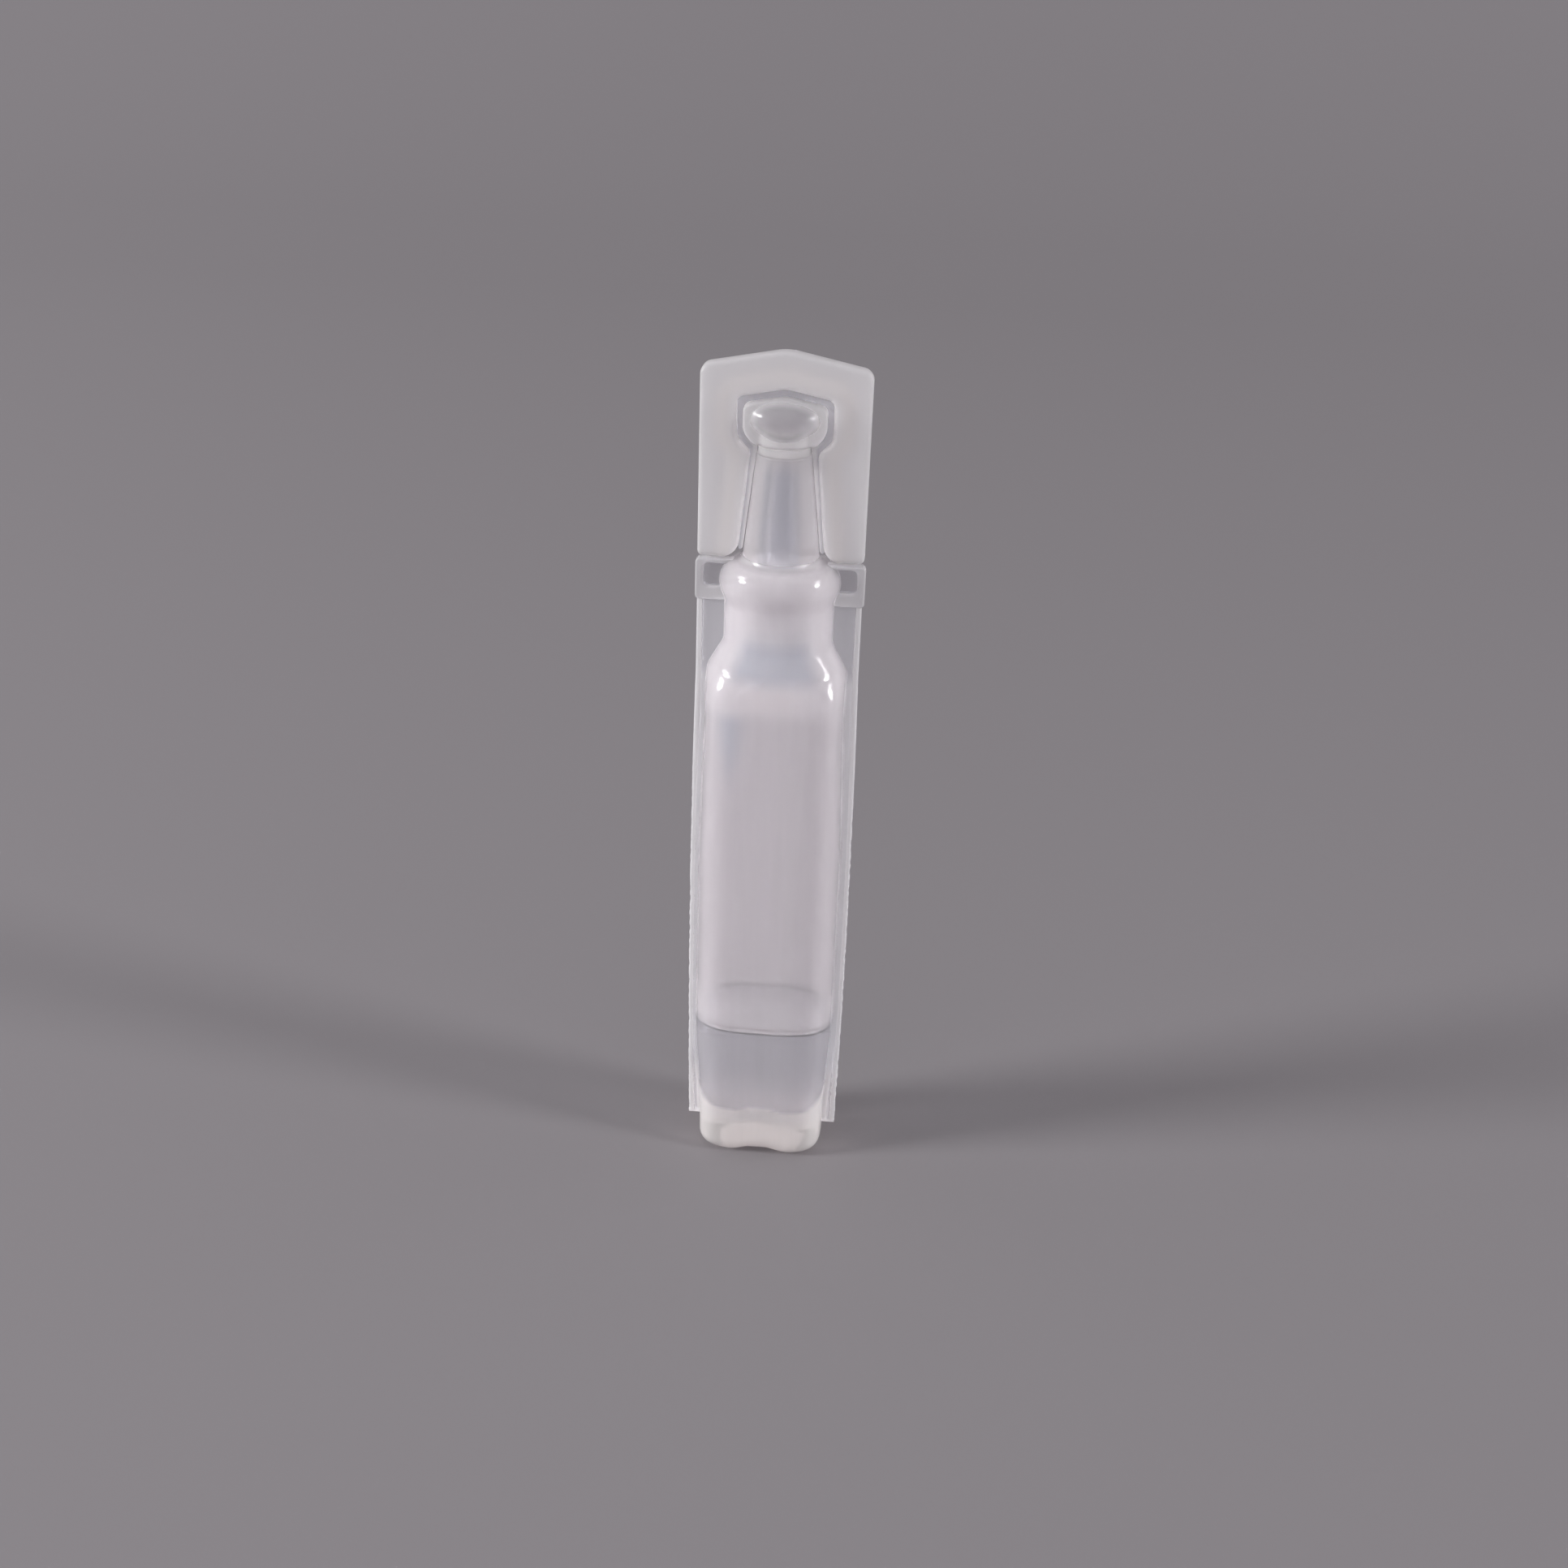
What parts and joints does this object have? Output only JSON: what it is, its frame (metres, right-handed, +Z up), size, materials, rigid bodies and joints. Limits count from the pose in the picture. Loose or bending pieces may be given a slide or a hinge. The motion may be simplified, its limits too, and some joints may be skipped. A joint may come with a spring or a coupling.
{
  "type": "eye wash vial",
  "caption": "Small translucent squeeze vial with a flat twist-off tab round its conical nozzle and thin side webs, holding sterile liquid to rinse an eye.",
  "frame": {"origin": "middle of the foot, on the surface the vial stands on", "axes": "+Z up along the vial to the tab, +X to the right along the flat of the tab and webs, -Y to the front"},
  "size_m": [0.0166, 0.0112, 0.0858],
  "materials": {
    "milky_plastic": "translucent soft polyethylene, waxy gloss",
    "tab_plastic": "thicker, whiter polyethylene, waxy gloss",
    "web_film": "thin clear polyethylene film with whiter rims",
    "saline": "clear liquid"
  },
  "bodies": {
    "vial": {"vial_shell": "milky_plastic", "saline_fill": "saline", "left_web": "web_film", "right_web": "web_film", "left_bridge": "web_film", "right_bridge": "web_film"},
    "tear_ring": {"tear_ring": "tab_plastic"},
    "tab": {"twist_off_tab": "tab_plastic"}
  },
  "joints": [
    {"name": "tab_twist", "type": "hinge", "parent": "vial", "child": "tear_ring", "pos_m": [0, 0, 0.0766], "axis": [0, 0, 1], "range_deg": [-90, 90]},
    {"name": "tab_lift", "type": "slide", "parent": "tear_ring", "child": "tab", "axis": [0, 0, 1], "range_m": [0, 0.025]}
  ]
}
